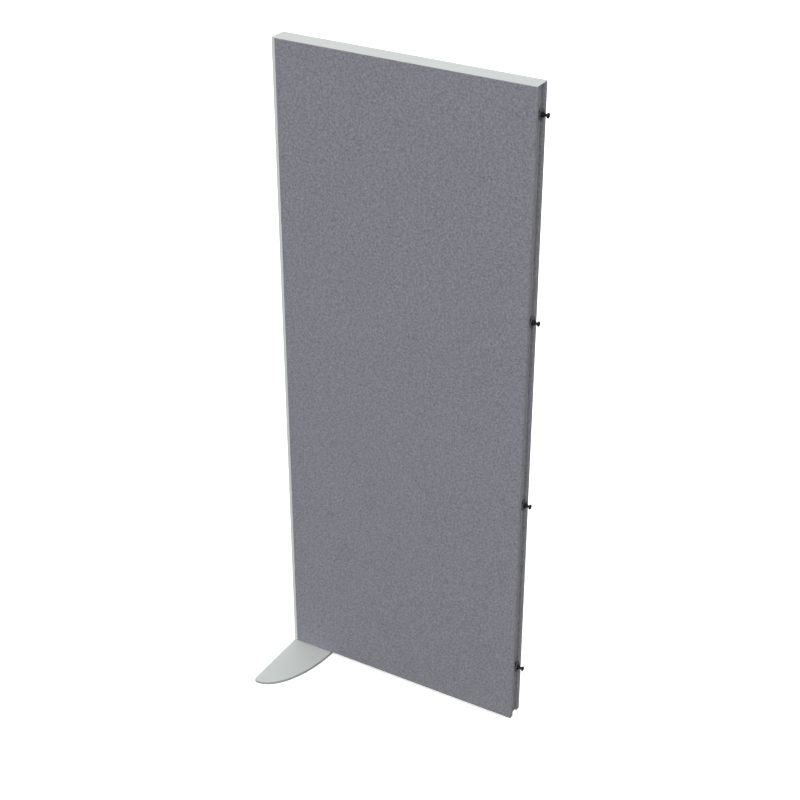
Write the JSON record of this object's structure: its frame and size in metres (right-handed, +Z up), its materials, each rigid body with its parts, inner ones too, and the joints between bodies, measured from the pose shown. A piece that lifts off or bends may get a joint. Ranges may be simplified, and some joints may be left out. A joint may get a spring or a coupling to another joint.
{
  "type": "partition wall",
  "caption": "Fabric-covered partition wall extension: two upholstered boards on a slotted frame, foot plate and trim at one end, mushroom connector studs at the other.",
  "frame": {"origin": "on the floor, under the middle of the element's box: halfway between the end trim's outer face and the stud tips, and in the middle of the thickness", "axes": "+Z up, +X along the wall towards the connector studs, -Y is the front"},
  "size_m": [0.719, 0.472, 1.8],
  "materials": {
    "light_grey_powder_coat": "satin powder coat, fine orange peel",
    "felt": "matt mottled felt",
    "pad_rubber": "matt",
    "zinc_steel": "zinc plated",
    "aluminium": "anodised, satin",
    "dark_plastic": "fine texture",
    "white_plastic": "moulded",
    "infill_fleece": "open fleece",
    "padding_fleece": "soft fleece",
    "fibreboard": "sanded fibreboard",
    "black_stud": "black, semi-gloss"
  },
  "bodies": {
    "root": {"foot_plate": "light_grey_powder_coat", "foot_pads": "pad_rubber", "foot_screws": "zinc_steel", "foot_block": "zinc_steel", "foot_block_screws": "zinc_steel", "end_post": "aluminium", "end_trim": "light_grey_powder_coat", "joining_post": "aluminium", "joining_post_plug": "dark_plastic", "top_rail": "aluminium", "middle_rail": "aluminium", "bottom_rail": "aluminium", "end_post_screws": "zinc_steel", "joining_post_screws": "zinc_steel", "upper_infill": "infill_fleece", "lower_infill": "infill_fleece", "front_board": "fibreboard", "front_padding": "padding_fleece", "front_cover": "felt", "front_clips": "white_plastic", "rear_board": "fibreboard", "rear_padding": "padding_fleece", "rear_cover": "felt", "rear_clips": "white_plastic", "top_cap": "light_grey_powder_coat", "slot_nuts": "zinc_steel", "stud_washers": "dark_plastic", "connector_stud_1": "black_stud", "connector_stud_2": "black_stud", "connector_stud_3": "black_stud", "connector_stud_4": "black_stud"}
  },
  "joints": []
}
